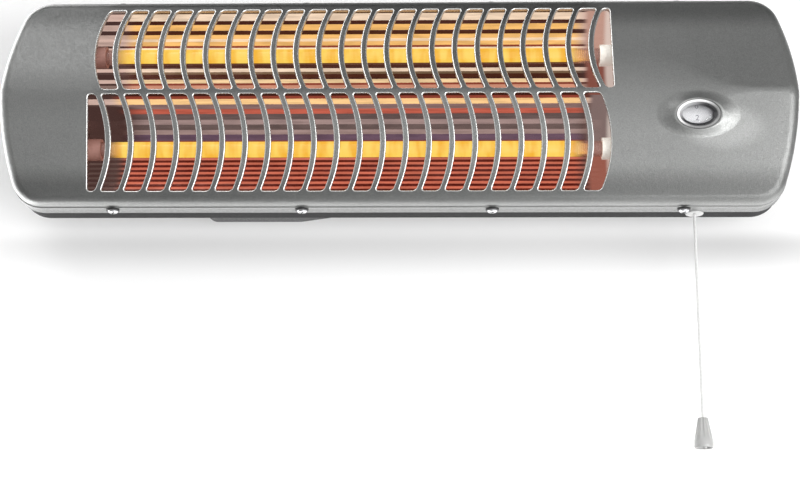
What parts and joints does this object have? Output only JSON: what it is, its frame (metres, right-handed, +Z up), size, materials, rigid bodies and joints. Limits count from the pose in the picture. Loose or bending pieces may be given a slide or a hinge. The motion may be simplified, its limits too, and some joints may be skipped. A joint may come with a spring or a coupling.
{
  "type": "electric bar heater",
  "caption": "Wall-mounted quartz tube heater with a creased steel cover, bowed grille bars, polished reflectors, tilting bracket and pull-cord switch.",
  "frame": {"origin": "on the wall plane, midway between the wall bracket's two screw slots", "axes": "+X along the heater to the right as seen from the front, -Y out of its front, +Z up"},
  "size_m": [0.528, 0.0864, 0.3045],
  "materials": {
    "cover_paint": "fine textured metallic grey paint",
    "tray_paint": "satin dark grey paint",
    "bracket_paint": "satin dark grey paint",
    "zinc_steel": "bright zinc plate",
    "screw_chrome": "bright nickel plate",
    "reflector_metal": "polished mirror aluminium",
    "quartz": "clear quartz glass",
    "glowing_wire": "glowing resistance wire",
    "ceramic_white": "unglazed white ceramic",
    "brass_plate": "brass",
    "box_black": "black moulded plastic",
    "grip_black": "black moulded plastic",
    "block_ivory": "ivory moulded plastic",
    "lead_sleeve": "red silicone insulation",
    "window_clear": "clear plastic lens",
    "bezel_grey": "pale grey moulded plastic",
    "drum_white": "white moulded plastic with plain numbers",
    "mechanism_grey": "grey moulded plastic",
    "bush_white": "white moulded plastic",
    "cord_white": "white braided cord",
    "knob_grey": "pale grey moulded plastic"
  },
  "bodies": {
    "wall_bracket": {"wall_bracket": "bracket_paint"},
    "heater": {"tilt_lugs": "bracket_paint", "lug_nuts": "zinc_steel", "back_tray": "tray_paint", "front_cover": "cover_paint", "cover_screws": "screw_chrome", "terminal_box": "box_black", "box_screws": "zinc_steel", "terminal_block": "block_ivory", "block_screws": "brass_plate", "cable_gland": "box_black", "gland_nut": "box_black", "end_plate_left": "zinc_steel", "end_plate_right": "zinc_steel", "reflector_upper": "reflector_metal", "reflector_lower": "reflector_metal", "quartz_tube_upper": "quartz", "quartz_tube_lower": "quartz", "heating_coil_upper": "glowing_wire", "heating_coil_lower": "glowing_wire", "cap_upper_left": "ceramic_white", "cap_upper_right": "ceramic_white", "cap_lower_left": "ceramic_white", "cap_lower_right": "ceramic_white", "terminal_pins": "zinc_steel", "terminal_nuts": "brass_plate", "supply_leads": "lead_sleeve", "window_bezel": "bezel_grey", "window_lens": "window_clear", "switch_frame": "zinc_steel", "switch_body": "block_ivory", "cord_bush": "bush_white", "return_spring": "zinc_steel"},
    "clamp_left": {"clamp_knob_left": "grip_black"},
    "clamp_right": {"clamp_knob_right": "grip_black"},
    "pull": {"pull_cord": "cord_white", "cord_knob": "knob_grey", "cord_knot": "cord_white", "cord_stop": "bush_white"},
    "sector": {"pull_sector": "mechanism_grey", "ratchet_pawl": "zinc_steel"},
    "drum": {"number_drum": "drum_white", "ratchet_wheel": "mechanism_grey", "switch_axle": "zinc_steel"}
  },
  "joints": [
    {"name": "tilt", "type": "hinge", "parent": "wall_bracket", "child": "heater", "pos_m": [0, -0.015, -0.045], "axis": [1, 0, 0], "range_deg": [0, 25]},
    {"name": "clamp_left_turn", "type": "hinge", "parent": "heater", "child": "clamp_left", "pos_m": [-0.15, -0.015, -0.045], "axis": [1, 0, 0], "continuous": true},
    {"name": "clamp_right_turn", "type": "hinge", "parent": "heater", "child": "clamp_right", "pos_m": [0.15, -0.015, -0.045], "axis": [1, 0, 0], "continuous": true},
    {"name": "cord_pull", "type": "slide", "parent": "heater", "child": "pull", "axis": [0, 0, -1], "range_m": [0, 0.01354], "stiffness_N_per_m": 300, "springref_m": -0.004, "deforming": ["return_spring"]},
    {"name": "sector_turn", "type": "hinge", "parent": "heater", "child": "sector", "pos_m": [0.197, -0.0639, -0.01533], "axis": [1, 0, 0], "range_deg": [-41, 1]},
    {"name": "drum_turn", "type": "hinge", "parent": "heater", "child": "drum", "pos_m": [0.1968, -0.0639, -0.01533], "axis": [1, 0, 0], "range_deg": [-41, 1]}
  ],
  "couplings": [
    {"joint": "sector_turn", "follows": "cord_pull", "rad_per_m": -51.546},
    {"joint": "drum_turn", "follows": "cord_pull", "rad_per_m": -51.546}
  ]
}
